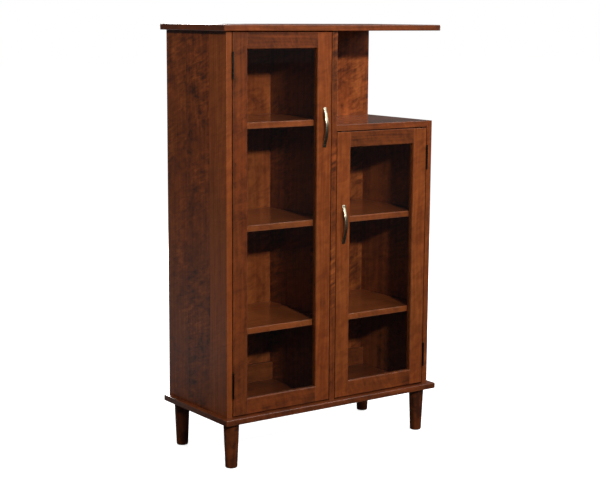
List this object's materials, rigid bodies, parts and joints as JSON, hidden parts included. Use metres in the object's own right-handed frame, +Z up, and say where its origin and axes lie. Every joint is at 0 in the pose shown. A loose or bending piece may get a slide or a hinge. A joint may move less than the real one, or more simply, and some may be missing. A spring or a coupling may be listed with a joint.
{
  "type": "stepped glass-door bookcase",
  "caption": "Stepped bookcase with side-hinged glass doors: a tall glazed compartment beside a shorter one, with an open display niche under a full-width top, on round tapered legs.",
  "frame": {"origin": "middle of the footprint at floor level, under the leg bottoms", "axes": "+Z up, the doors face -Y, +X to the right of someone facing the doors; the tall compartment is on -X"},
  "size_m": [0.809, 0.375, 1.317],
  "materials": {
    "case_wood": "reddish brown stained maple, satin lacquer",
    "slab_wood": "reddish brown stained maple, satin lacquer, eased edges",
    "door_wood": "reddish brown stained maple, straight grain, satin lacquer",
    "shelf_wood": "reddish brown stained maple, satin lacquer",
    "back_wood": "maple veneered plywood, stained to match",
    "leg_wood": "turned maple, stained to match",
    "dowel_wood": "unfinished beech",
    "clear_glass": "clear, polished",
    "handle_brass": "brushed antique brass, darkened in the recesses",
    "hinge_bronze": "dark oil rubbed bronze",
    "fastener_steel": "zinc plated",
    "insert_brass": "machined",
    "catch_plastic": "brown moulded",
    "magnet_steel": "ground pole faces"
  },
  "bodies": {
    "root": {"back_left_leg": "leg_wood", "back_panel_screws": "fastener_steel", "back_right_leg": "leg_wood", "base_slab": "slab_wood", "case_dowels": "dowel_wood", "catch_magnets": "magnet_steel", "catch_screws": "fastener_steel", "divider_panel": "case_wood", "front_left_leg": "leg_wood", "front_right_leg": "leg_wood", "hinge_case_screws": "hinge_bronze", "hinge_pins": "hinge_bronze", "left_side_panel": "case_wood", "leg_hanger_bolts": "fastener_steel", "leg_threaded_inserts": "insert_brass", "right_back_panel": "back_wood", "right_side_panel": "case_wood", "shelf_pins": "fastener_steel", "short_back_rail": "case_wood", "short_catch_housing": "catch_plastic", "short_lower_hinge_case_leaf": "hinge_bronze", "short_lower_shelf": "shelf_wood", "short_top_panel": "case_wood", "short_upper_hinge_case_leaf": "hinge_bronze", "short_upper_shelf": "shelf_wood", "tall_back_panel": "back_wood", "tall_back_rail": "case_wood", "tall_catch_housing": "catch_plastic", "tall_lower_hinge_case_leaf": "hinge_bronze", "tall_lower_shelf": "shelf_wood", "tall_middle_shelf": "shelf_wood", "tall_upper_hinge_case_leaf": "hinge_bronze", "tall_upper_shelf": "shelf_wood", "top_slab": "slab_wood"},
    "tall_door": {"tall_door_bottom_rail": "door_wood", "tall_door_glass": "clear_glass", "tall_door_glass_stops": "door_wood", "tall_door_handle": "handle_brass", "tall_door_handle_screws": "fastener_steel", "tall_door_handle_stile": "door_wood", "tall_door_hinge_screws": "hinge_bronze", "tall_door_hinge_stile": "door_wood", "tall_door_strike_plate": "fastener_steel", "tall_door_strike_screw": "fastener_steel", "tall_door_top_rail": "door_wood", "tall_lower_hinge_door_leaf": "hinge_bronze", "tall_upper_hinge_door_leaf": "hinge_bronze"},
    "short_door": {"short_door_bottom_rail": "door_wood", "short_door_glass": "clear_glass", "short_door_glass_stops": "door_wood", "short_door_handle": "handle_brass", "short_door_handle_screws": "fastener_steel", "short_door_handle_stile": "door_wood", "short_door_hinge_screws": "hinge_bronze", "short_door_hinge_stile": "door_wood", "short_door_strike_plate": "fastener_steel", "short_door_strike_screw": "fastener_steel", "short_door_top_rail": "door_wood", "short_lower_hinge_door_leaf": "hinge_bronze", "short_upper_hinge_door_leaf": "hinge_bronze"}
  },
  "joints": [
    {"name": "tall_door_swing", "type": "hinge", "parent": "root", "child": "tall_door", "pos_m": [-0.3675, -0.1668, 0.729], "axis": [0, 0, -1], "range_deg": [0, 180]},
    {"name": "short_door_swing", "type": "hinge", "parent": "root", "child": "short_door", "pos_m": [0.3675, -0.1668, 0.578], "axis": [0, 0, 1], "range_deg": [0, 180]}
  ]
}
